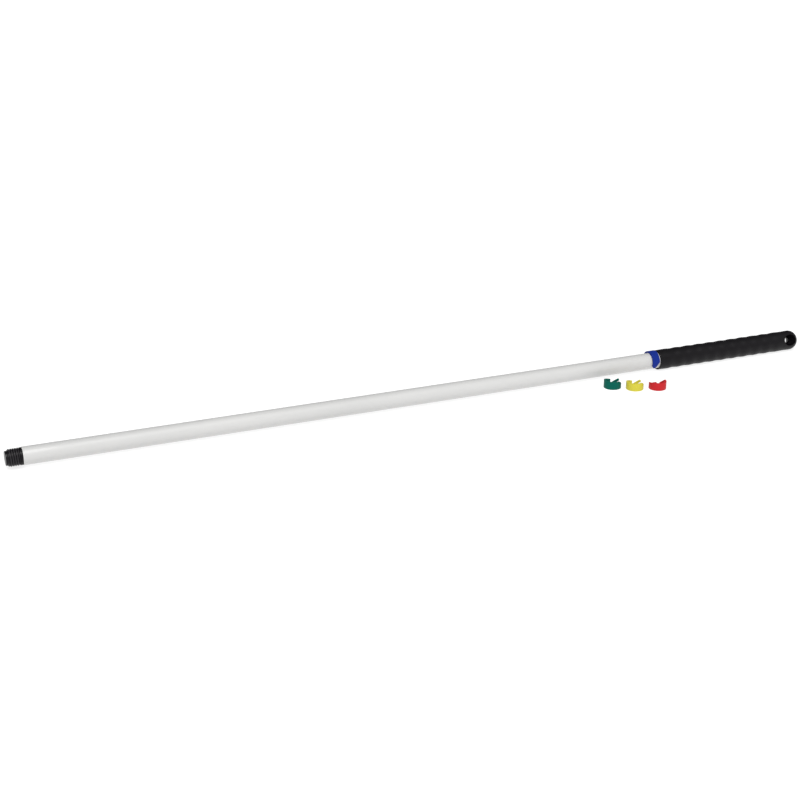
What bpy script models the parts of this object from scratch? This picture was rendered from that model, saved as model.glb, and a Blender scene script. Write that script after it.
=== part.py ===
"""Screw-fit tool handle: a coated aluminium tube with a threaded end, a hand grip and four colour clips.

Metres, +Z up. The pole lies along +X. The origin is the centre of the threaded end's flat face, on the
pole's axis. One clip is on the tube, and three spare clips stand on edge on the surface beside it.
"""

import math

import bmesh
import bpy
from mathutils import Euler, Vector

MM = 0.001
FIT_GAP = 0.3 * MM  # between touching pieces

# Pole
POLE_LENGTH = 1250 * MM
TUBE_RADIUS = 12.5 * MM
TUBE_WALL = 1.0 * MM
TUBE_RIM_ROUND = 0.3 * MM
TUBE_SEGMENTS = 48

# Threaded end
THREAD_PITCH = 3.0 * MM
THREAD_START = 3.4 * MM
THREAD_TURNS = 5
THREAD_CORE_RADIUS = 11.0 * MM
THREAD_CREST_RADIUS = 12.0 * MM
THREAD_RUN_OUT = 0.3  # turns over which the ridge rises or falls at its two ends
PILOT_RADIUS = 9.9 * MM
PILOT_CHAMFER = 0.5 * MM
COLLAR_RADIUS = 12.0 * MM
COLLAR_LENGTH = 3.0 * MM
COLLAR_CHAMFER = 0.4 * MM
SHANK_LENGTH = 46 * MM
SHANK_RING_DEPTH = 0.7 * MM
SHANK_RINGS = 4
SHANK_TAPER_LENGTH = 3 * MM
SHANK_BORE_RADIUS = 7 * MM
SHANK_BORE_FLOOR = 9 * MM
THREAD_SEGMENTS = 36
RINGS_PER_TURN = 8

# Hand grip
GRIP_LENGTH = 257.8 * MM
GRIP_RADIUS = 15.4 * MM  # at the crest of each wave
GRIP_FRONT_RADIUS = 15.1 * MM
GRIP_RIM_ROUND = 0.6 * MM
WAVE_DEPTH = 0.65 * MM
WAVE_PITCH = 20.0 * MM
WAVE_COUNT = 10
FIRST_CREST = 16.0 * MM  # from the grip's front edge
POINTS_PER_WAVE = 4
GRIP_TAIL_RADIUS = 15.3 * MM
GRIP_END_ROUND = 15.0 * MM
GRIP_SOLID_END = 44 * MM
GRIP_SEGMENTS = 36

# Hang hole, through the grip's solid end
HOLE_RADIUS = 4.2 * MM
HOLE_STRETCH = 1.15  # along the pole, which makes the hole and its dishes oval
HOLE_FROM_END = 18.7 * MM
HOLE_TILT = math.radians(20)  # its axis leans up from the horizontal
WEB_THICKNESS = 4.5 * MM  # what the two dished recesses leave between them
DISH_DEPTH = 11 * MM
DISH_RADIUS = 9.2 * MM
DISH_POINTS = 6
HOLE_SEGMENTS = 32

# Colour clips: a flat strip, bent round. Its tapered end is its start, and its finger is its far end.
CLIP_HEIGHT = 11.7 * MM
CLIP_THICKNESS = 2.7 * MM
CLIP_FREE_RADIUS = 11.75 * MM  # middle of the strip, before it is pushed on to the tube
TAPER_LENGTH = 9.5 * MM
TIP_HEIGHT = 5.0 * MM
TIP_LOWER_ROUND = 3.4 * MM
TIP_UPPER_ROUND = 1.2 * MM
SHOULDER_START = 39.6 * MM
SHOULDER_DROP = 3.5 * MM
CLIP_BAND_LENGTH = 54.2 * MM
NOTCH_FLOOR = 1.8 * MM
NOTCH_GAP = 0.6 * MM  # the least that stays open between the band and the finger
FINGER_WIDTH = 3.8 * MM
FINGER_LENGTH = 10.2 * MM
FINGER_ROOT = Vector((58.1 * MM, 2.1 * MM))
FINGER_RISE = math.radians(39)
PRESSED_FINGER_RISE = math.radians(3)
CLIP_STEP = 1.9 * MM
ARC_POINTS = 9
SNAP = 0.3 * MM  # cuts nearer than this to each other are one cut

CLIP_TO_GRIP = 2.7 * MM
MOUNTED_CLIP_START = math.radians(-30)  # the tapered end, below the horizontal on the -Y side
SPARE_CLIP_START = math.radians(108.4)  # the tapered end, from the -Y side towards +X

SPARE_CLIPS = [
    # name, x, y, turn about its own axis, finger's rise
    ("spare_clip_green", 892.0 * MM, -41.0 * MM, math.radians(-36.7), FINGER_RISE),
    ("spare_clip_yellow", 919.9 * MM, -59.2 * MM, math.radians(-32), FINGER_RISE),
    ("spare_clip_red", 952.5 * MM, -70.4 * MM, math.radians(25.8), PRESSED_FINGER_RISE),
]

# Worked out
COLLAR_START = THREAD_START + THREAD_TURNS * THREAD_PITCH + 0.9 * MM
COLLAR_END = COLLAR_START + COLLAR_LENGTH
TUBE_START = COLLAR_END + FIT_GAP
GRIP_START = POLE_LENGTH - GRIP_LENGTH
TUBE_END = POLE_LENGTH - GRIP_SOLID_END
FLOOR_Z = -GRIP_RADIUS

# Colour, roughness and metallic value of each material
FINISHES = {
    "coated_aluminium": ((0.70, 0.70, 0.69), 0.35, 0.0),
    "thread_plastic": ((0.010, 0.009, 0.009), 0.40, 0.0),
    "grip_plastic": ((0.022, 0.020, 0.022), 0.55, 0.0),
    "clip_blue_plastic": ((0.012, 0.035, 0.32), 0.40, 0.0),
    "clip_green_plastic": ((0.002, 0.13, 0.09), 0.40, 0.0),
    "clip_yellow_plastic": ((0.75, 0.65, 0.06), 0.40, 0.0),
    "clip_red_plastic": ((0.60, 0.03, 0.04), 0.40, 0.0),
}


def clear_scene():
    for old in list(bpy.data.objects):
        bpy.data.objects.remove(old, do_unlink=True)


def new_collection(name):
    made = bpy.data.collections.new(name)
    bpy.context.scene.collection.children.link(made)
    return made


def new_material(name):
    color, roughness, metallic = FINISHES[name]
    material = bpy.data.materials.new(name)
    material.use_nodes = True
    shader = material.node_tree.nodes["Principled BSDF"]
    shader.inputs["Base Color"].default_value = (*color, 1)
    shader.inputs["Roughness"].default_value = roughness
    shader.inputs["Metallic"].default_value = metallic
    return material


def object_from(bm, name, collection, material=None):
    mesh = bpy.data.meshes.new(name)
    bm.to_mesh(mesh)
    bm.free()
    mesh.shade_smooth()
    mesh.set_sharp_from_angle(angle=math.radians(35))
    made = bpy.data.objects.new(name, mesh)
    collection.objects.link(made)
    if material:
        mesh.materials.append(material)
    return made


def turned(profile, name, collection, segments, axis="X", closed=True, material=None):
    """A closed or axis-to-axis profile of (along, radius) points, turned round the X or Z axis by a Screw."""
    bm = bmesh.new()
    place = {"X": lambda along, radius: (along, 0, radius), "Z": lambda along, radius: (radius, 0, along)}[axis]
    points = [bm.verts.new(place(*point)) for point in profile]
    pairs = zip(points, points[1:] + points[:1]) if closed else zip(points, points[1:])
    for pair in pairs:
        bm.edges.new(pair)
    made = object_from(bm, name, collection, material)
    screw = made.modifiers.new("Turn", "SCREW")
    screw.axis = axis
    screw.steps = segments
    screw.render_steps = segments
    screw.use_merge_vertices = True
    screw.merge_threshold = 1e-6
    screw.use_smooth_shade = True
    return made


def cut(target, cutter):
    cutter.hide_render = True
    cutter.display_type = "WIRE"
    boolean = target.modifiers.new("Cut " + cutter.name, "BOOLEAN")
    boolean.operation = "DIFFERENCE"
    boolean.solver = "EXACT"
    boolean.object = cutter


def arc(centre, radius, start, end, points):
    """Points from start to end, in radians, both included."""
    return [
        centre + radius * Vector((math.cos(angle), math.sin(angle)))
        for angle in (start + (end - start) * i / (points - 1) for i in range(points))
    ]


def make_tube(parts):
    outer, inner = TUBE_RADIUS, TUBE_RADIUS - TUBE_WALL
    rim = TUBE_RIM_ROUND
    profile = [
        (TUBE_START, inner + rim),
        (TUBE_START + rim, inner),
        (TUBE_END - rim, inner),
        (TUBE_END, inner + rim),
        (TUBE_END, outer - rim),
        (TUBE_END - rim, outer),
        (TUBE_START + rim, outer),
        (TUBE_START, outer - rim),
    ]
    return turned(profile, "pole_tube", parts, TUBE_SEGMENTS, material=new_material("coated_aluminium"))


def smooth_step(value):
    value = min(max(value, 0.0), 1.0)
    return value * value * (3 - 2 * value)


def ridge(x, angle):
    """How far the thread stands up at this point, from 0 at its root to 1 at its crest. Right-handed."""
    turns = (x - THREAD_START) / THREAD_PITCH
    along = turns - angle / math.tau
    from_crest = abs(along - math.floor(along) - 0.5)
    shape = smooth_step((0.45 - from_crest) / 0.25)
    rise = smooth_step((turns - 0.15) / THREAD_RUN_OUT)
    fall = smooth_step((THREAD_TURNS + 0.2 - turns) / THREAD_RUN_OUT)
    return shape * rise * fall


def thread_stations():
    """(x, radius, whether the ridge stands on it) from the flat face to the end of the shank."""
    shank_radius = TUBE_RADIUS - TUBE_WALL - FIT_GAP
    stations = [
        (0, PILOT_RADIUS - PILOT_CHAMFER, False),
        (PILOT_CHAMFER, PILOT_RADIUS, False),
        (THREAD_START - 0.7 * MM, PILOT_RADIUS, False),
        (THREAD_START, THREAD_CORE_RADIUS, False),
    ]
    rings = THREAD_TURNS * RINGS_PER_TURN
    for i in range(1, rings + 2):
        stations.append((THREAD_START + i * THREAD_PITCH / RINGS_PER_TURN, THREAD_CORE_RADIUS, True))
    stations += [
        (COLLAR_START, THREAD_CORE_RADIUS, False),
        (COLLAR_START, COLLAR_RADIUS - COLLAR_CHAMFER, False),
        (COLLAR_START + COLLAR_CHAMFER, COLLAR_RADIUS, False),
        (COLLAR_END, COLLAR_RADIUS, False),
        (COLLAR_END, shank_radius, False),
    ]
    ring_pitch = (SHANK_LENGTH - SHANK_TAPER_LENGTH) / SHANK_RINGS
    for i in range(SHANK_RINGS):
        start = COLLAR_END + i * ring_pitch
        stations += [
            (start + 0.5 * ring_pitch, shank_radius, False),
            (start + 0.6 * ring_pitch, shank_radius - SHANK_RING_DEPTH, False),
            (start + 0.9 * ring_pitch, shank_radius - SHANK_RING_DEPTH, False),
            (start + ring_pitch, shank_radius, False),
        ]
    stations.append((COLLAR_END + SHANK_LENGTH, shank_radius - 1.2 * MM, False))
    return stations


def make_threaded_end(parts, cutters):
    """A grid wrapped round the axis: each row is a ring at one station, and the ridge lifts its points."""
    stations = thread_stations()
    bm = bmesh.new()
    rings = []
    for x, radius, threaded in stations:
        ring = []
        for i in range(THREAD_SEGMENTS):
            angle = math.tau * i / THREAD_SEGMENTS
            lift = (THREAD_CREST_RADIUS - THREAD_CORE_RADIUS) * ridge(x, angle) if threaded else 0
            r = radius + lift
            ring.append(bm.verts.new((x, r * math.cos(angle), r * math.sin(angle))))
        rings.append(ring)
    for first, second in zip(rings, rings[1:]):
        for i in range(THREAD_SEGMENTS):
            j = (i + 1) % THREAD_SEGMENTS
            bm.faces.new((first[i], first[j], second[j], second[i]))
    bm.faces.new(rings[0][::-1])
    bm.faces.new(rings[-1])
    bmesh.ops.recalc_face_normals(bm, faces=bm.faces)
    made = object_from(bm, "threaded_end", parts, new_material("thread_plastic"))
    bore_end = COLLAR_END + SHANK_LENGTH + 5 * MM
    bore = turned(
        [
            (bore_end, 0),
            (bore_end, SHANK_BORE_RADIUS),
            (SHANK_BORE_FLOOR + 1 * MM, SHANK_BORE_RADIUS),
            (SHANK_BORE_FLOOR, SHANK_BORE_RADIUS - 1 * MM),
            (SHANK_BORE_FLOOR, 0),
        ],
        "shank_bore",
        cutters,
        THREAD_SEGMENTS,
        closed=False,
    )
    cut(made, bore)
    return made


def wave_radius(along):
    """The grip's outer radius at this distance from its front edge."""
    if along < FIRST_CREST:
        return GRIP_FRONT_RADIUS + (GRIP_RADIUS - GRIP_FRONT_RADIUS) * smooth_step(along / FIRST_CREST)
    phase = (along - FIRST_CREST) / WAVE_PITCH
    return GRIP_RADIUS - WAVE_DEPTH * (1 - math.cos(math.tau * phase)) / 2


def grip_profile():
    """From the tip of the round end, along the outside to the front edge, then down the bore to its floor."""
    tail = GRIP_LENGTH - GRIP_END_ROUND
    end = [
        (GRIP_START + tail + GRIP_END_ROUND * math.sin(angle), GRIP_TAIL_RADIUS * math.cos(angle))
        for angle in (math.pi / 2 * (1 - i / 8) for i in range(8))
    ]
    end[0] = (POLE_LENGTH, 0)
    steps = WAVE_COUNT * POINTS_PER_WAVE
    waves = []
    for i in range(steps, -POINTS_PER_WAVE, -1):
        along = FIRST_CREST + i * WAVE_PITCH / POINTS_PER_WAVE
        waves.append((GRIP_START + along, wave_radius(along)))
    last_crest = GRIP_START + FIRST_CREST + WAVE_COUNT * WAVE_PITCH
    return [
        *end,
        (GRIP_START + tail, GRIP_TAIL_RADIUS),
        (last_crest + 0.35 * WAVE_PITCH, GRIP_TAIL_RADIUS - 0.3 * MM),
        *waves,
        (GRIP_START + GRIP_RIM_ROUND, GRIP_FRONT_RADIUS),
        (GRIP_START, GRIP_FRONT_RADIUS - GRIP_RIM_ROUND),
        (GRIP_START, TUBE_RADIUS + FIT_GAP),
        (TUBE_END + FIT_GAP, TUBE_RADIUS + FIT_GAP),
        (TUBE_END + FIT_GAP, 0),
    ]


def make_grip(parts, cutters):
    grip = turned(
        grip_profile(), "hand_grip", parts, GRIP_SEGMENTS, closed=False, material=new_material("grip_plastic")
    )
    half_web = WEB_THICKNESS / 2
    upper = [(GRIP_RADIUS + 4 * MM, DISH_RADIUS + 1 * MM)]
    for i in range(DISH_POINTS):
        share = 1 - i / DISH_POINTS
        upper.append((half_web + DISH_DEPTH * share, HOLE_RADIUS + (DISH_RADIUS - HOLE_RADIUS) * share**0.6))
    upper.append((half_web - 0.6 * MM, HOLE_RADIUS))
    lower = [(-along, radius) for along, radius in reversed(upper)]
    hole = turned(
        [(upper[0][0], 0), *upper, *lower, (lower[-1][0], 0)],
        "hang_hole",
        cutters,
        HOLE_SEGMENTS,
        axis="Z",
        closed=False,
    )
    hole.location = (POLE_LENGTH - HOLE_FROM_END, 0, 0)
    hole.rotation_euler = (math.pi / 2 - HOLE_TILT, 0, 0)
    hole.scale = (HOLE_STRETCH, 1, 1)
    cut(grip, hole)
    return grip


def clip_outline(rise):
    """The flat strip's outline, as (distance from the tip of its tapered end, height)."""
    along = Vector((math.cos(rise), math.sin(rise)))
    across = Vector((-math.sin(rise), math.cos(rise)))
    reach = FINGER_WIDTH / 2
    under = FINGER_ROOT - across * reach
    over = FINGER_ROOT + across * reach
    under -= along * (under.y / along.y)
    corner = max(over.x - (over.y - NOTCH_FLOOR) / math.tan(rise), CLIP_BAND_LENGTH + NOTCH_GAP)
    over += along * ((corner - over.x) / along.x)
    tip = FINGER_ROOT + along * FINGER_LENGTH
    finger_end = arc(tip, reach, rise - math.pi / 2, rise + math.pi / 2, ARC_POINTS)
    taper = math.atan2(CLIP_HEIGHT - TIP_HEIGHT, TAPER_LENGTH)
    upper = Vector((TIP_UPPER_ROUND, TIP_HEIGHT + TIP_UPPER_ROUND * (math.tan(taper) - 1 / math.cos(taper))))
    lower = Vector((TIP_LOWER_ROUND, TIP_LOWER_ROUND))
    return [
        under,
        *finger_end,
        over,
        Vector((CLIP_BAND_LENGTH, over.y)),
        Vector((CLIP_BAND_LENGTH, CLIP_HEIGHT - SHOULDER_DROP)),
        Vector((SHOULDER_START, CLIP_HEIGHT)),
        Vector((TAPER_LENGTH, CLIP_HEIGHT)),
        *arc(upper, TIP_UPPER_ROUND, math.pi / 2 + taper, math.pi, ARC_POINTS // 2),
        *arc(lower, TIP_LOWER_ROUND, math.pi, 1.5 * math.pi, ARC_POINTS),
    ]


def bent_strip(outline, radius, start, sign, name, collection, material):
    """The flat outline cut into narrow strips across its length and bent round the Z axis, then thickened."""
    bm = bmesh.new()
    bm.faces.new([bm.verts.new((point.x, point.y, 0)) for point in outline])
    length = max(point.x for point in outline)
    places = sorted(point.x for point in outline)
    places += [i * CLIP_STEP for i in range(1, int(length / CLIP_STEP) + 1)]
    cuts = []
    for place in places:
        if all(abs(place - other) > SNAP for other in cuts):
            cuts.append(place)
    for place in cuts:
        bmesh.ops.bisect_plane(
            bm, geom=[*bm.verts, *bm.edges, *bm.faces], dist=1e-6, plane_co=(place, 0, 0), plane_no=(1, 0, 0)
        )
    for vert in bm.verts:
        angle = start + sign * vert.co.x / radius
        vert.co = Vector((radius * math.sin(angle), -radius * math.cos(angle), vert.co.y))
    bmesh.ops.recalc_face_normals(bm, faces=bm.faces)
    made = object_from(bm, name, collection, material)
    solidify = made.modifiers.new("Thickness", "SOLIDIFY")
    solidify.thickness = CLIP_THICKNESS
    solidify.offset = 0
    solidify.use_even_offset = True
    return made


def make_mounted_clip(parts):
    """Opened out to the tube's size. Its notched edge faces the grip, and its tapered end is on the -Y side."""
    radius = TUBE_RADIUS + FIT_GAP + CLIP_THICKNESS / 2
    outline = clip_outline(FINGER_RISE)
    # In the clip's own frame +Z runs along the pole. Turned so that +Z lies on +X, its +X side lies on -Z.
    clip = bent_strip(
        outline, radius, -MOUNTED_CLIP_START, -1, "colour_clip_blue", parts, new_material("clip_blue_plastic")
    )
    clip.rotation_euler = (0, math.pi / 2, 0)
    clip.location = (GRIP_START - CLIP_TO_GRIP - CLIP_HEIGHT, 0, 0)
    return clip


def make_spare_clips(parts):
    for name, x, y, turn, rise in SPARE_CLIPS:
        material = new_material(name.replace("spare_", "") + "_plastic")
        clip = bent_strip(clip_outline(rise), CLIP_FREE_RADIUS, SPARE_CLIP_START, -1, name, parts, material)
        clip.location = (x, y, FLOOR_Z)
        clip.rotation_euler = Euler((0, 0, turn))


def main():
    clear_scene()
    parts = new_collection("tool_handle")
    cutters = new_collection("cutters")
    make_tube(parts)
    make_threaded_end(parts, cutters)
    make_grip(parts, cutters)
    make_mounted_clip(parts)
    make_spare_clips(parts)


main()
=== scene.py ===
"""The looks of the screw-fit tool handle: fine meshes, materials, floor, light and camera.

Every piece stands for one CAD node and is drawn again here with more detail. Metres, +Z up, in the CAD's
frame: the pole lies along +X, and the origin is the centre of the threaded end's flat face.
"""

import math

import bmesh
import bpy
from mathutils import Euler, Matrix, Vector

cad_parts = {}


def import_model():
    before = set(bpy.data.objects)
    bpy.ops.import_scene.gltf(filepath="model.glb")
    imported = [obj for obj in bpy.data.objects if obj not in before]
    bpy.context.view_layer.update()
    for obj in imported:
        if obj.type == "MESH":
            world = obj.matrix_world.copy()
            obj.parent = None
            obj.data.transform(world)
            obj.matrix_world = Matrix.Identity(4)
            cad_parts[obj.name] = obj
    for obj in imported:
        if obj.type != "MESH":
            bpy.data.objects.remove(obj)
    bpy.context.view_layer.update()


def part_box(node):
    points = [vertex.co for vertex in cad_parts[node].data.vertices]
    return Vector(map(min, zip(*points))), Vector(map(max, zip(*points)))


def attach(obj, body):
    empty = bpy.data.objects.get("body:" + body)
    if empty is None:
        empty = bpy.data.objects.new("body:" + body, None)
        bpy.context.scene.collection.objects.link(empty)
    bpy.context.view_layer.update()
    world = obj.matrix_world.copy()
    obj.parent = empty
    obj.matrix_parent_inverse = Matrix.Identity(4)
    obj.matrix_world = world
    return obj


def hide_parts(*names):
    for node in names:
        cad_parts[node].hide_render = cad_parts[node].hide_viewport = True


MM = 0.001
SHARP_ANGLE = math.radians(40)  # edges sharper than this aren't shaded smooth

# Thread, collar and shank
THREAD_PITCH = 3.0 * MM
THREAD_START = 3.4 * MM
THREAD_TURNS = 5
THREAD_CORE_RADIUS = 11.0 * MM
THREAD_CREST_RADIUS = 12.0 * MM
THREAD_RUN_OUT = 0.3  # turns over which the ridge rises or falls at its two ends
RIDGE_RISES_FROM = 0.15  # turns from the thread's start
RIDGE_FALLS_UNTIL = THREAD_TURNS + 0.2
TURNS_TO_COLLAR = THREAD_TURNS + 0.3
CREST_FOOT = 0.45  # turns from the middle of the crest to where its flank meets the root
CREST_FLANK = 0.25  # turns that the flank takes
PILOT_RADIUS = 9.9 * MM
PILOT_ROUND = 0.5 * MM
LEAD_IN = 1.0 * MM  # the slope from the pilot up to the thread's root
LEAD_IN_FOOT = (0.6 * MM, 0.15 * MM)  # before the thread, and above the pilot
LEAD_IN_TOP = (0.1 * MM, 0.1 * MM)  # before the thread, and below its root
COLLAR_RADIUS = 12.0 * MM
COLLAR_LENGTH = 3.0 * MM
COLLAR_ROUND = 0.45 * MM
COLLAR_START = THREAD_START + TURNS_TO_COLLAR * THREAD_PITCH
COLLAR_END = COLLAR_START + COLLAR_LENGTH
SHANK_LENGTH = 46 * MM
SHANK_RADIUS = 11.2 * MM
SHANK_TAPER_LENGTH = 3 * MM
SHANK_TAPER_DEPTH = 1.2 * MM
SHANK_BORE_RADIUS = 7 * MM
SHANK_BORE_FLOOR = 9 * MM
SHANK_BORE_CHAMFER = 1 * MM
THREAD_SEGMENTS = 144
RINGS_PER_TURN = 24
THREAD_ROUND_POINTS = 6

# Tube
TUBE_RADIUS = 12.5 * MM
TUBE_WALL = 1.0 * MM
TUBE_RIM_ROUND = 0.35 * MM
TUBE_RIM_POINTS = 5
TUBE_SEGMENTS = 160
TUBE_SPANS = 24  # between its ends, so that no face is a metre long

# Hand grip
GRIP_RADIUS = 15.4 * MM
GRIP_FRONT_RADIUS = 15.1 * MM
GRIP_RIM_ROUND = 0.7 * MM
GRIP_RIM_POINTS = 7
WAVE_DEPTH = 0.65 * MM
WAVE_PITCH = 20.0 * MM
WAVE_COUNT = 10
FIRST_CREST = 16.0 * MM
POINTS_PER_WAVE = 20
POINTS_BEFORE_CREST = 15  # from just behind the rim's round to the first crest
GRIP_TAIL_RADIUS = 15.3 * MM
TAIL_DIP = 0.35 * MM  # the shallow last ring, between the last crest and the round end
TAIL_STEPS = 10
GRIP_END_ROUND = 15.0 * MM
DOME_STEPS = 28
GRIP_BORE_RADIUS = 12.8 * MM
GRIP_BORE_CHAMFER = 0.4 * MM
GRIP_SOLID_END = 43.7 * MM
GRIP_SEGMENTS = 144
HOLE_RADIUS = 4.2 * MM
HOLE_STRETCH = 1.15  # along the pole, which makes the hole and its dishes oval
HOLE_FROM_END = 18.7 * MM
HOLE_TILT = math.radians(20)
WEB_THICKNESS = 4.5 * MM
DISH_DEPTH = 11 * MM
DISH_RADIUS = 9.2 * MM
DISH_CURVE = 0.6  # the power that the dish widens by: below 1, it is round at its floor
DISH_INTO_WEB = 0.6 * MM  # how far its last slope reaches into the web
DISH_POINTS = 14
CUTTER_REACH = 4 * MM  # past the grip's surface
CUTTER_FLARE = 1 * MM  # wider there than the dish
HOLE_SEGMENTS = 96

# Colour clips
CLIP_HEIGHT = 11.7 * MM
CLIP_THICKNESS = 2.7 * MM
CLIP_FREE_RADIUS = 11.75 * MM
CLIP_MOUNTED_RADIUS = 14.15 * MM
TAPER_LENGTH = 9.5 * MM
TIP_HEIGHT = 5.0 * MM
TIP_LOWER_ROUND = 3.4 * MM
TIP_UPPER_ROUND = 1.2 * MM
SHOULDER_START = 39.6 * MM
SHOULDER_DROP = 3.5 * MM
CLIP_BAND_LENGTH = 54.2 * MM
NOTCH_FLOOR = 1.8 * MM
NOTCH_GAP = 0.6 * MM  # the least that stays open between the band and the finger
FINGER_WIDTH = 3.8 * MM
FINGER_LENGTH = 10.2 * MM
FINGER_ROOT = Vector((58.1 * MM, 2.1 * MM))
FINGER_RISE = math.radians(39)
PRESSED_FINGER_RISE = math.radians(3)
CLIP_STEP = 0.75 * MM
CLIP_CUT_SNAP = 0.02 * MM  # a corner nearer than this to a cut is taken as on it
CLIP_EDGE_ROUND = 0.4 * MM
CLIP_EDGE_SEGMENTS = 3
CLIP_EDGE_ANGLE = math.radians(50)  # edges sharper than this are rounded
ARC_POINTS = 17
CLIP_TO_GRIP = 2.7 * MM
MOUNTED_CLIP_START = math.radians(-30)
SPARE_CLIP_START = math.radians(108.4)
SPARE_CLIPS = [
    # name, body, x, y, turn about its own axis, finger's rise
    ("green", "green_clip", 892.0 * MM, -41.0 * MM, math.radians(-36.7), FINGER_RISE),
    ("yellow", "yellow_clip", 919.9 * MM, -59.2 * MM, math.radians(-32), FINGER_RISE),
    ("red", "red_clip", 952.5 * MM, -70.4 * MM, math.radians(25.8), PRESSED_FINGER_RISE),
]

# Camera: where it stands, where it looks, and its lens
CAMERA_PLACE = Vector((-0.21888, -1.89957, 0.81354))
CAMERA_LOOK = Vector((0.353853, 0.859440, -0.368987))
CAMERA_LENS_MM = 68.625
CAMERA_SENSOR_MM = 36
CAMERA_SEES_TO = 50

# Floor and light: a white floor that glows evenly, a grey surround that is brightest behind the camera, and
# one broad soft light from above and in front
FLOOR_SIZE = 60.0
FLOOR_MIDDLE_X = 0.6
FLOOR_BELOW = 0.1 * MM  # under the pieces that stand on it, so that no two faces share a plane
FLOOR_COLOR = 0.30
FLOOR_COLOR_CHANGE = 0.01
FLOOR_PATCH = 0.4  # across each faint change of its tone
FLOOR_ROUGHNESS = 0.9
FLOOR_GLOW = 0.80
SURROUND_FRONT = 0.80  # on the -Y side, behind the camera
SURROUND_BACK = 0.15
SURROUND_FRONT_Y = -0.4  # the Y of the directions between which its strength changes
SURROUND_BACK_Y = 0.5
KEY_LIGHT_FROM = Vector((-0.30, -0.62, 1.30))
KEY_LIGHT_STRENGTH = 2.2
KEY_LIGHT_SPREAD = math.radians(38)

# Colours, as pairs of a usual tone and a paler one
BLACK = ((0.0020, 0.0014, 0.0024), (0.0044, 0.0036, 0.0052))
CREST_HIGHLIGHT_GREY = (0.034, 0.031, 0.035)  # a painted highlight: the paler grey put on the thread's crests
COATING = ((0.520, 0.520, 0.513), (0.550, 0.548, 0.540))
SCUFFED = (0.48, 0.48, 0.48)
CLIP_COLORS = {
    "blue": ((0.006, 0.022, 0.20), (0.010, 0.028, 0.24)),
    "green": ((0.0004, 0.087, 0.063), (0.001, 0.105, 0.078)),
    "yellow": ((0.54, 0.485, 0.048), (0.60, 0.54, 0.062)),
    "red": ((0.48, 0.019, 0.024), (0.53, 0.027, 0.033)),
}

# Surfaces of the plastics: roughness, specular level, and the size and depth of the moulded grain
THREAD_SURFACE = (0.30, 0.20, 0.5 * MM, 0.006 * MM)
GRIP_SURFACE = (0.42, 0.19, 0.35 * MM, 0.014 * MM)
CLIP_SURFACE = (0.38, 0.07, 0.4 * MM, 0.005 * MM)

NOISE_RANGE = (0.3, 0.7)  # nearly all of a noise texture's values lie in it

# The tube's coating. A stretch below 1 draws a texture out along the pole.
TONE_SIZE = 60 * MM
TONE_STRETCH = (0.3, 1, 1)
SCUFF_SIZE = 3 * MM
SCUFF_STRETCH = (0.12, 1, 1)
SCUFF_RANGE = (0.66, 0.74)  # only a noise texture's highest values
SCUFF_MOST = 0.5
COATING_ROUGHNESS = (0.30, 0.42)
COATING_SHEEN_SIZE = 25 * MM
COATING_SPECULAR = 0.5
DRAWING_LINE_WIDTH = 0.9 * MM
DRAWING_LINE_DEPTH = 0.006 * MM
DRAWING_LINE_STRETCH = (0.01, 1, 1)
ORANGE_PEEL_SIZE = 1.4 * MM
ORANGE_PEEL_DEPTH = 0.010 * MM
CLEAR_COAT_WEIGHT = 0.15
CLEAR_COAT_ROUGHNESS = 0.12

# What the plastics share
MOTTLE_SIZE = 18 * MM
MOTTLE_MOST = 0.35
SHEEN_SIZE = 6 * MM
SHEEN_CHANGE = (-0.06, 0.08)  # of the roughness
DIMPLE_SIZE = 4 * MM
DIMPLE_DEPTH = 1.5  # times the grain's
EDGE_POINTINESS = (0.53, 0.62)  # from a flat part to a full edge
# how pale the outer edges get: partly wear, partly a painted highlight
EDGE_WEAR_AND_HIGHLIGHT = 0.5
# how much of the paler crest grey, a painted highlight, is mixed in on the crests
CREST_HIGHLIGHT = 0.6
CREST_HIGHLIGHT_DEPTH = 0.4 * MM  # below the crests, and before the collar, where the painted highlight fades out


def mesh_object(bm, name):
    bmesh.ops.recalc_face_normals(bm, faces=bm.faces)
    mesh = bpy.data.meshes.new(name)
    bm.to_mesh(mesh)
    bm.free()
    mesh.shade_smooth()
    mesh.set_sharp_from_angle(angle=SHARP_ANGLE)
    made = bpy.data.objects.new(name, mesh)
    bpy.context.scene.collection.objects.link(made)
    return made


def apply_modifiers(target):
    """The object's mesh with its modifiers applied, and the modifiers gone."""
    graph = bpy.context.evaluated_depsgraph_get()
    mesh = bpy.data.meshes.new_from_object(target.evaluated_get(graph), depsgraph=graph)
    target.modifiers.clear()
    target.data = mesh
    mesh.shade_smooth()
    mesh.set_sharp_from_angle(angle=SHARP_ANGLE)


def arc(centre, radius, start, end, points):
    """Points from start to end, in radians, both included."""
    turn = (end - start) / (points - 1)
    return [
        Vector(centre) + radius * Vector((math.cos(start + i * turn), math.sin(start + i * turn)))
        for i in range(points)
    ]


def skin(stations, segments, name, lift=None, closed=False):
    """Rings round the X axis at each (x, radius), joined one to the next. A radius of 0 makes a single point.

    lift(x, angle) raises a ring's points, where its station has a third value. The points stand half a step
    round, so that fewer of them are close together with coordinates that add up to the same sum. Pointiness
    merges such points, which leaves pale flecks.
    """
    bm = bmesh.new()
    rings = []
    for x, radius, *lifted in stations:
        if radius == 0:
            rings.append([bm.verts.new((x, 0, 0))])
            continue
        ring = []
        for i in range(segments):
            angle = math.tau * (i + 0.5) / segments
            r = radius + (lift(x, angle) if lifted else 0)
            ring.append(bm.verts.new((x, r * math.cos(angle), r * math.sin(angle))))
        rings.append(ring)
    pairs = list(zip(rings, rings[1:]))
    if closed:
        pairs.append((rings[-1], rings[0]))
    for first, second in pairs:
        if len(first) == len(second) == 1:
            continue
        for i in range(segments):
            j = (i + 1) % segments
            corners = [row[k % len(row)] for row, k in ((first, i), (first, j), (second, j), (second, i))]
            bm.faces.new(list(dict.fromkeys(corners)))
    return mesh_object(bm, name)


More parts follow.
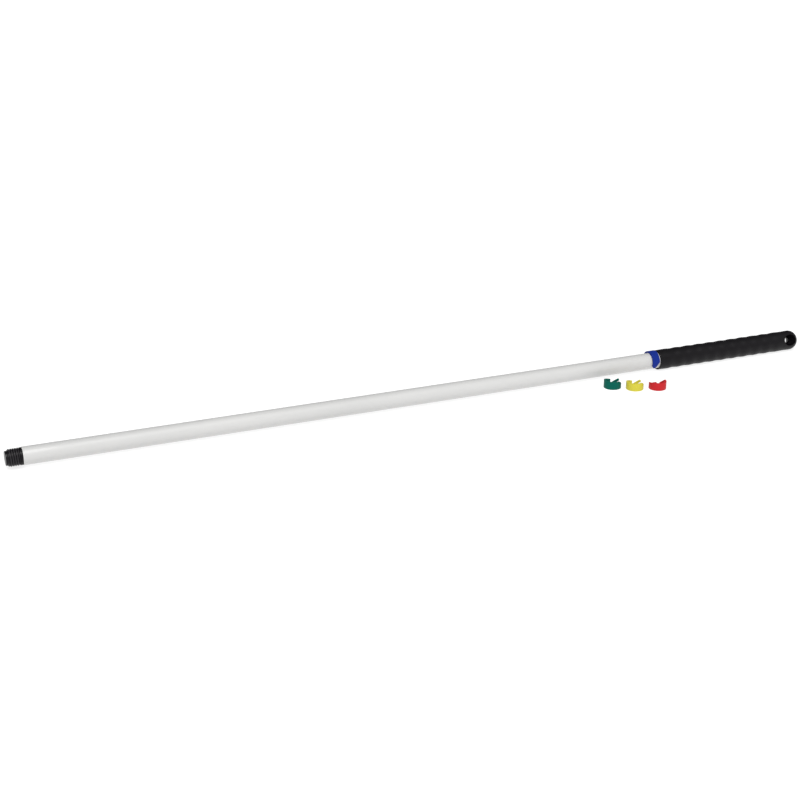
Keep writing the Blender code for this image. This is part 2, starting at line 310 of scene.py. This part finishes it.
def smooth_step(value):
    value = min(max(value, 0.0), 1.0)
    return value * value * (3 - 2 * value)


def ridge(x, angle):
    """The thread's height here above its root. Right-handed, with flat-topped rounded crests."""
    turns = (x - THREAD_START) / THREAD_PITCH
    along = turns - angle / math.tau
    from_crest = abs(along - math.floor(along) - 0.5)
    shape = smooth_step((CREST_FOOT - from_crest) / CREST_FLANK)
    rise = smooth_step((turns - RIDGE_RISES_FROM) / THREAD_RUN_OUT)
    fall = smooth_step((RIDGE_FALLS_UNTIL - turns) / THREAD_RUN_OUT)
    return (THREAD_CREST_RADIUS - THREAD_CORE_RADIUS) * shape * rise * fall


def make_thread():
    """The moulding at the pole's front: flat face, pilot, thread, collar, and the shank inside the tube."""
    pilot_middle = (PILOT_ROUND, PILOT_RADIUS - PILOT_ROUND)
    pilot = arc(pilot_middle, PILOT_ROUND, math.pi, math.pi / 2, THREAD_ROUND_POINTS)
    threaded = [
        (THREAD_START + i * THREAD_PITCH / RINGS_PER_TURN, THREAD_CORE_RADIUS, True)
        for i in range(1, int(TURNS_TO_COLLAR * RINGS_PER_TURN))
    ]
    front_middle = (COLLAR_START + COLLAR_ROUND, COLLAR_RADIUS - COLLAR_ROUND)
    back_middle = (COLLAR_END - COLLAR_ROUND, COLLAR_RADIUS - COLLAR_ROUND)
    shank_end = COLLAR_END + SHANK_LENGTH
    stations = [
        (0, 0),
        (0, PILOT_RADIUS - 2 * PILOT_ROUND),
        *pilot,
        (THREAD_START - LEAD_IN, PILOT_RADIUS),
        (THREAD_START - LEAD_IN_FOOT[0], PILOT_RADIUS + LEAD_IN_FOOT[1]),
        (THREAD_START - LEAD_IN_TOP[0], THREAD_CORE_RADIUS - LEAD_IN_TOP[1]),
        (THREAD_START, THREAD_CORE_RADIUS),
        *threaded,
        (COLLAR_START, THREAD_CORE_RADIUS),
        *arc(front_middle, COLLAR_ROUND, math.pi, math.pi / 2, THREAD_ROUND_POINTS),
        *arc(back_middle, COLLAR_ROUND, math.pi / 2, 0, THREAD_ROUND_POINTS),
        (COLLAR_END, SHANK_RADIUS),
        (shank_end - SHANK_TAPER_LENGTH, SHANK_RADIUS),
        (shank_end, SHANK_RADIUS - SHANK_TAPER_DEPTH),
        (shank_end, SHANK_BORE_RADIUS),
        (SHANK_BORE_FLOOR + SHANK_BORE_CHAMFER, SHANK_BORE_RADIUS),
        (SHANK_BORE_FLOOR, SHANK_BORE_RADIUS - SHANK_BORE_CHAMFER),
        (SHANK_BORE_FLOOR, 0),
    ]
    return skin(stations, THREAD_SEGMENTS, "thread_moulding", lift=ridge)


def make_tube(start, end):
    rim = TUBE_RIM_ROUND
    inner = TUBE_RADIUS - TUBE_WALL
    between = [start + rim + (end - start - 2 * rim) * i / TUBE_SPANS for i in range(1, TUBE_SPANS)]
    stations = [
        *arc((start + rim, TUBE_RADIUS - rim), rim, math.pi, math.pi / 2, TUBE_RIM_POINTS),
        *[(x, TUBE_RADIUS) for x in between],
        *arc((end - rim, TUBE_RADIUS - rim), rim, math.pi / 2, 0, TUBE_RIM_POINTS),
        (end, inner),
        *[(x, inner) for x in reversed(between)],
        (start, inner),
    ]
    return skin(stations, TUBE_SEGMENTS, "tube_shell", closed=True)


def wave_radius(along):
    """The grip's outer radius at this distance from its front edge."""
    if along < FIRST_CREST:
        return GRIP_FRONT_RADIUS + (GRIP_RADIUS - GRIP_FRONT_RADIUS) * smooth_step(along / FIRST_CREST)
    phase = (along - FIRST_CREST) / WAVE_PITCH
    return GRIP_RADIUS - WAVE_DEPTH * (1 - math.cos(math.tau * phase)) / 2


def grip_stations(start, end):
    """Down the outside from the front edge to the round end's tip, and back up the bore from its floor."""
    waves = []
    for i in range(-POINTS_BEFORE_CREST, WAVE_COUNT * POINTS_PER_WAVE + 1):
        along = FIRST_CREST + i * WAVE_PITCH / POINTS_PER_WAVE
        waves.append((start + along, wave_radius(along)))
    last_crest = start + FIRST_CREST + WAVE_COUNT * WAVE_PITCH
    dome_start = end - GRIP_END_ROUND
    tail = []
    for i in range(1, TAIL_STEPS):
        share = i / TAIL_STEPS
        dip = TAIL_DIP * math.sin(math.pi * share) ** 2
        radius = GRIP_RADIUS + (GRIP_TAIL_RADIUS - GRIP_RADIUS) * smooth_step(share) - dip
        tail.append((last_crest + (dome_start - last_crest) * share, radius))
    dome = [
        (dome_start + GRIP_END_ROUND * math.sin(angle), GRIP_TAIL_RADIUS * math.cos(angle))
        for angle in (math.pi / 2 * i / DOME_STEPS for i in range(DOME_STEPS))
    ]
    rim_middle = (start + GRIP_RIM_ROUND, GRIP_FRONT_RADIUS - GRIP_RIM_ROUND)
    return [
        *arc(rim_middle, GRIP_RIM_ROUND, math.pi, math.pi / 2, GRIP_RIM_POINTS),
        *waves,
        *tail,
        *dome,
        (end, 0),
        (end - GRIP_SOLID_END, 0),
        (end - GRIP_SOLID_END, GRIP_BORE_RADIUS),
        (start + GRIP_BORE_CHAMFER, GRIP_BORE_RADIUS),
        (start, GRIP_BORE_RADIUS + GRIP_BORE_CHAMFER),
    ]


def hang_hole_stations():
    """Through the cutter for the hang hole: a dish, the hole in the web, and the dish on the other side."""
    half_web = WEB_THICKNESS / 2
    upper = [(GRIP_RADIUS + CUTTER_REACH, DISH_RADIUS + CUTTER_FLARE)]
    for i in range(DISH_POINTS):
        share = 1 - i / DISH_POINTS
        radius = HOLE_RADIUS + (DISH_RADIUS - HOLE_RADIUS) * share**DISH_CURVE
        upper.append((half_web + DISH_DEPTH * share, radius))
    upper.append((half_web - DISH_INTO_WEB, HOLE_RADIUS))
    lower = [(-along, radius) for along, radius in reversed(upper)]
    return [(upper[0][0], 0), *upper, *lower, (lower[-1][0], 0)]


def make_grip(start, end):
    grip = skin(grip_stations(start, end), GRIP_SEGMENTS, "grip_moulding", closed=True)
    cutter = skin(hang_hole_stations(), HOLE_SEGMENTS, "hang_hole_cutter")
    # The cutter's +X end comes out on the -Y side, tilted up.
    cutter.matrix_world = (
        Matrix.Translation((end - HOLE_FROM_END, 0, 0))
        @ Matrix.Rotation(-HOLE_TILT, 4, "X")
        @ Matrix.Scale(HOLE_STRETCH, 4, (1, 0, 0))
        @ Matrix.Rotation(-math.pi / 2, 4, "Z")
    )
    boolean = grip.modifiers.new("Hang hole", "BOOLEAN")
    boolean.operation = "DIFFERENCE"
    boolean.solver = "EXACT"
    boolean.object = cutter
    bpy.context.view_layer.update()
    apply_modifiers(grip)
    bpy.data.objects.remove(cutter)
    return grip


def clip_outline(rise):
    """The flat strip's outline, as (distance from the tip of its tapered end, height)."""
    along = Vector((math.cos(rise), math.sin(rise)))
    across = Vector((-math.sin(rise), math.cos(rise)))
    reach = FINGER_WIDTH / 2
    under = FINGER_ROOT - across * reach
    over = FINGER_ROOT + across * reach
    under -= along * (under.y / along.y)
    corner = max(over.x - (over.y - NOTCH_FLOOR) / math.tan(rise), CLIP_BAND_LENGTH + NOTCH_GAP)
    over += along * ((corner - over.x) / along.x)
    finger_middle = FINGER_ROOT + along * FINGER_LENGTH
    finger_end = arc(finger_middle, reach, rise - math.pi / 2, rise + math.pi / 2, ARC_POINTS)
    taper = math.atan2(CLIP_HEIGHT - TIP_HEIGHT, TAPER_LENGTH)
    upper = (TIP_UPPER_ROUND, TIP_HEIGHT + TIP_UPPER_ROUND * (math.tan(taper) - 1 / math.cos(taper)))
    return [
        under,
        *finger_end,
        over,
        Vector((CLIP_BAND_LENGTH, over.y)),
        Vector((CLIP_BAND_LENGTH, CLIP_HEIGHT - SHOULDER_DROP)),
        Vector((SHOULDER_START, CLIP_HEIGHT)),
        Vector((TAPER_LENGTH, CLIP_HEIGHT)),
        *arc(upper, TIP_UPPER_ROUND, math.pi / 2 + taper, math.pi, ARC_POINTS // 2),
        *arc((TIP_LOWER_ROUND, TIP_LOWER_ROUND), TIP_LOWER_ROUND, math.pi, 1.5 * math.pi, ARC_POINTS),
    ]


def make_clip(name, rise, radius, start, place):
    """The outline, cut into narrow strips, bent round the Z axis from the start angle, and thickened."""
    outline = clip_outline(rise)
    bm = bmesh.new()
    bm.faces.new([bm.verts.new((point.x, point.y, 0)) for point in outline])
    for i in range(1, int(max(point.x for point in outline) / CLIP_STEP) + 1):
        everything = [*bm.verts, *bm.edges, *bm.faces]
        bmesh.ops.bisect_plane(
            bm, geom=everything, dist=CLIP_CUT_SNAP, plane_co=(i * CLIP_STEP, 0, 0), plane_no=(1, 0, 0)
        )
    for vert in bm.verts:
        angle = start - vert.co.x / radius
        vert.co = Vector((radius * math.sin(angle), -radius * math.cos(angle), vert.co.y))
    clip = mesh_object(bm, name)
    solidify = clip.modifiers.new("Thickness", "SOLIDIFY")
    solidify.thickness = CLIP_THICKNESS
    solidify.offset = 0
    solidify.use_even_offset = True
    bevel = clip.modifiers.new("Edge", "BEVEL")
    bevel.width = CLIP_EDGE_ROUND
    bevel.segments = CLIP_EDGE_SEGMENTS
    bevel.angle_limit = CLIP_EDGE_ANGLE
    apply_modifiers(clip)
    clip.data.transform(place)
    return clip


def new_material(name):
    made = bpy.data.materials.new(name)
    made.use_nodes = True
    tree = made.node_tree
    return made, tree, tree.nodes["Principled BSDF"]


def noise(tree, size, detail, stretch=(1, 1, 1)):
    """A noise value with features about this many metres across, on the piece's own coordinates."""
    place = tree.nodes.new("ShaderNodeTexCoord")
    mapping = tree.nodes.new("ShaderNodeMapping")
    mapping.inputs["Scale"].default_value = [s / size for s in stretch]
    texture = tree.nodes.new("ShaderNodeTexNoise")
    texture.inputs["Scale"].default_value = 1.0
    texture.inputs["Detail"].default_value = detail
    tree.links.new(place.outputs["Object"], mapping.inputs["Vector"])
    tree.links.new(mapping.outputs["Vector"], texture.inputs["Vector"])
    return texture.outputs["Fac"]


def remap(tree, value, low, high, to_low, to_high):
    node = tree.nodes.new("ShaderNodeMapRange")
    for socket, number in zip(("From Min", "From Max", "To Min", "To Max"), (low, high, to_low, to_high)):
        node.inputs[socket].default_value = number
    tree.links.new(value, node.inputs["Value"])
    return node.outputs["Result"]


def drift(tree, to_low, to_high, size, detail, stretch=(1, 1, 1)):
    """A value that drifts from one number to another over about this many metres."""
    return remap(tree, noise(tree, size, detail, stretch), *NOISE_RANGE, to_low, to_high)


def mixed(tree, share, first, second):
    """A colour from first to second. Each of them is a colour or a node's output."""
    node = tree.nodes.new("ShaderNodeMix")
    node.data_type = "RGBA"
    tree.links.new(share, node.inputs["Factor"])
    for socket, color in (("A", first), ("B", second)):
        place = next(i for i in node.inputs if i.name == socket and i.type == "RGBA")
        if isinstance(color, tuple):
            place.default_value = (*color, 1)
        else:
            tree.links.new(color, place)
    return next(o for o in node.outputs if o.type == "RGBA")


def bump(tree, height, depth, under=None):
    node = tree.nodes.new("ShaderNodeBump")
    node.inputs["Distance"].default_value = depth
    tree.links.new(height, node.inputs["Height"])
    if under:
        tree.links.new(under, node.inputs["Normal"])
    return node.outputs["Normal"]


def edge_wear_and_highlight(tree):
    """From 0 on flat parts to its most along outer edges: partly wear that handling polishes and pales,
    partly a painted highlight.
    """
    geometry = tree.nodes.new("ShaderNodeNewGeometry")
    return remap(tree, geometry.outputs["Pointiness"], *EDGE_POINTINESS, 0, EDGE_WEAR_AND_HIGHLIGHT)


def thread_crest_highlight(tree):
    """A painted highlight: the most on the thread's crests, and 0 on the collar and lower down."""
    place = tree.nodes.new("ShaderNodeTexCoord")
    split = tree.nodes.new("ShaderNodeSeparateXYZ")
    across = tree.nodes.new("ShaderNodeVectorMath")
    across.operation = "MULTIPLY"
    across.inputs[1].default_value = (0, 1, 1)
    from_axis = tree.nodes.new("ShaderNodeVectorMath")
    from_axis.operation = "LENGTH"
    both = tree.nodes.new("ShaderNodeMath")
    both.operation = "MULTIPLY"
    tree.links.new(place.outputs["Object"], split.inputs["Vector"])
    tree.links.new(place.outputs["Object"], across.inputs[0])
    tree.links.new(across.outputs["Vector"], from_axis.inputs[0])
    fades_from = COLLAR_START - CREST_HIGHLIGHT_DEPTH
    before_collar = remap(tree, split.outputs["X"], fades_from, COLLAR_START, 1, 0)
    starts_at = THREAD_CREST_RADIUS - CREST_HIGHLIGHT_DEPTH
    high = remap(tree, from_axis.outputs["Value"], starts_at, THREAD_CREST_RADIUS, 0, CREST_HIGHLIGHT)
    tree.links.new(before_collar, both.inputs[0])
    tree.links.new(high, both.inputs[1])
    return both.outputs["Value"]


def plastic(name, colors, surface, painted_highlight=None):
    """Moulded plastic: faint mottling, a fine spark-eroded grain, and paler edges that are partly wear and
    partly a painted highlight.

    The last argument, where given, is a function of the tree that gives the share of the paler crest grey, a
    painted highlight, at each point.
    """
    made, tree, shader = new_material(name)
    color, pale = colors
    roughness, specular, grain, depth = surface
    base = mixed(tree, drift(tree, 0, MOTTLE_MOST, MOTTLE_SIZE, detail=3), color, pale)
    # paler outer edges: partly edge wear, partly a painted highlight
    base = mixed(tree, edge_wear_and_highlight(tree), base, pale)
    # where given, a painted highlight: paler grey mixed in on the thread's crests
    if painted_highlight:
        base = mixed(tree, painted_highlight(tree), base, CREST_HIGHLIGHT_GREY)
    tree.links.new(base, shader.inputs["Base Color"])
    smoothest, roughest = (roughness + change for change in SHEEN_CHANGE)
    sheen = drift(tree, smoothest, roughest, SHEEN_SIZE, detail=4)
    tree.links.new(sheen, shader.inputs["Roughness"])
    dimples = bump(tree, noise(tree, DIMPLE_SIZE, detail=1), depth * DIMPLE_DEPTH)
    normal = bump(tree, noise(tree, grain, detail=2), depth, under=dimples)
    tree.links.new(normal, shader.inputs["Normal"])
    shader.inputs["Specular IOR Level"].default_value = specular
    return made


def coating():
    """White baked coating on drawn tube: orange peel, faint lengthwise lines and a slightly uneven tone."""
    made, tree, shader = new_material("coated_aluminium_finish")
    base = mixed(tree, drift(tree, 0, 1, TONE_SIZE, detail=3, stretch=TONE_STRETCH), *COATING)
    scratched = noise(tree, SCUFF_SIZE, detail=6, stretch=SCUFF_STRETCH)
    base = mixed(tree, remap(tree, scratched, *SCUFF_RANGE, 0, SCUFF_MOST), base, SCUFFED)
    tree.links.new(base, shader.inputs["Base Color"])
    sheen = drift(tree, *COATING_ROUGHNESS, COATING_SHEEN_SIZE, detail=4)
    tree.links.new(sheen, shader.inputs["Roughness"])
    lines = noise(tree, DRAWING_LINE_WIDTH, detail=2, stretch=DRAWING_LINE_STRETCH)
    peel = noise(tree, ORANGE_PEEL_SIZE, detail=1)
    normal = bump(tree, peel, ORANGE_PEEL_DEPTH, under=bump(tree, lines, DRAWING_LINE_DEPTH))
    tree.links.new(normal, shader.inputs["Normal"])
    shader.inputs["Specular IOR Level"].default_value = COATING_SPECULAR
    shader.inputs["Coat Weight"].default_value = CLEAR_COAT_WEIGHT
    shader.inputs["Coat Roughness"].default_value = CLEAR_COAT_ROUGHNESS
    return made


def clip_finish(color):
    return plastic(f"clip_{color}_finish", CLIP_COLORS[color], CLIP_SURFACE)


def floor_material():
    made, tree, shader = new_material("floor_panel")
    darkest, palest = FLOOR_COLOR - FLOOR_COLOR_CHANGE, FLOOR_COLOR + FLOOR_COLOR_CHANGE
    tree.links.new(drift(tree, darkest, palest, FLOOR_PATCH, detail=2), shader.inputs["Base Color"])
    shader.inputs["Roughness"].default_value = FLOOR_ROUGHNESS
    shader.inputs["Specular IOR Level"].default_value = 0.0
    shader.inputs["Emission Color"].default_value = (1, 1, 1, 1)
    shader.inputs["Emission Strength"].default_value = FLOOR_GLOW
    return made


def finish_piece(piece, node, body, material):
    piece.data.materials.clear()
    piece.data.materials.append(material)
    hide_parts(node)
    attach(piece, body)


def make_floor(floor_z):
    bm = bmesh.new()
    bmesh.ops.create_grid(bm, x_segments=1, y_segments=1, size=FLOOR_SIZE / 2)
    floor = mesh_object(bm, "floor")
    floor.location = (FLOOR_MIDDLE_X, 0, floor_z - FLOOR_BELOW)
    floor.data.materials.append(floor_material())


def make_surround():
    world = bpy.data.worlds.new("studio")
    world.use_nodes = True
    tree = world.node_tree
    background = tree.nodes["Background"]
    background.inputs["Color"].default_value = (1, 1, 1, 1)
    direction = tree.nodes.new("ShaderNodeTexCoord")
    split = tree.nodes.new("ShaderNodeSeparateXYZ")
    tree.links.new(direction.outputs["Generated"], split.inputs["Vector"])
    span = (SURROUND_FRONT_Y, SURROUND_BACK_Y, SURROUND_FRONT, SURROUND_BACK)
    tree.links.new(remap(tree, split.outputs["Y"], *span), background.inputs["Strength"])
    bpy.context.scene.world = world


def make_key_light():
    light = bpy.data.lights.new("key_light", "SUN")
    light.energy = KEY_LIGHT_STRENGTH
    light.angle = KEY_LIGHT_SPREAD
    lamp = bpy.data.objects.new("key_light", light)
    lamp.rotation_euler = (-KEY_LIGHT_FROM).to_track_quat("-Z", "Y").to_euler()
    bpy.context.scene.collection.objects.link(lamp)


def make_camera():
    camera = bpy.data.cameras.new("camera")
    camera.lens = CAMERA_LENS_MM
    camera.sensor_width = CAMERA_SENSOR_MM
    camera.clip_end = CAMERA_SEES_TO
    made = bpy.data.objects.new("camera", camera)
    made.location = CAMERA_PLACE
    made.rotation_euler = CAMERA_LOOK.to_track_quat("-Z", "Y").to_euler()
    bpy.context.scene.collection.objects.link(made)
    bpy.context.scene.camera = made


def clear_startup():
    for name in ("Cube", "Light", "Camera"):
        found = bpy.data.objects.get(name)
        if found:
            bpy.data.objects.remove(found)


def main():
    clear_startup()
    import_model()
    bpy.context.scene.view_settings.view_transform = "Standard"
    tube_low, tube_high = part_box("pole_tube")
    grip_low, grip_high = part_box("hand_grip")
    make_camera()
    make_floor(grip_low.z)
    make_surround()
    make_key_light()

    thread = make_thread()
    # the thread's crests get a painted highlight of paler grey
    thread_finish = plastic("thread_finish", BLACK, THREAD_SURFACE, thread_crest_highlight)
    finish_piece(thread, "threaded_end", "pole", thread_finish)
    tube = make_tube(tube_low.x, tube_high.x)
    finish_piece(tube, "pole_tube", "pole", coating())
    grip = make_grip(grip_low.x, grip_high.x)
    grip_finish = plastic("grip_finish", BLACK, GRIP_SURFACE)
    finish_piece(grip, "hand_grip", "pole", grip_finish)

    # Turned so that the strip's height lies along the pole, with the notched edge facing the grip.
    blue_start = Matrix.Translation((grip_low.x - CLIP_TO_GRIP - CLIP_HEIGHT, 0, 0))
    on_tube = blue_start @ Matrix.Rotation(math.pi / 2, 4, "Y")
    blue = make_clip("clip_blue", FINGER_RISE, CLIP_MOUNTED_RADIUS, -MOUNTED_CLIP_START, on_tube)
    finish_piece(blue, "colour_clip_blue", "blue_clip", clip_finish("blue"))
    for color, body, x, y, turn, rise in SPARE_CLIPS:
        place = Matrix.Translation((x, y, grip_low.z)) @ Euler((0, 0, turn)).to_matrix().to_4x4()
        clip = make_clip(f"clip_{color}", rise, CLIP_FREE_RADIUS, SPARE_CLIP_START, place)
        finish_piece(clip, f"spare_clip_{color}", body, clip_finish(color))


main()
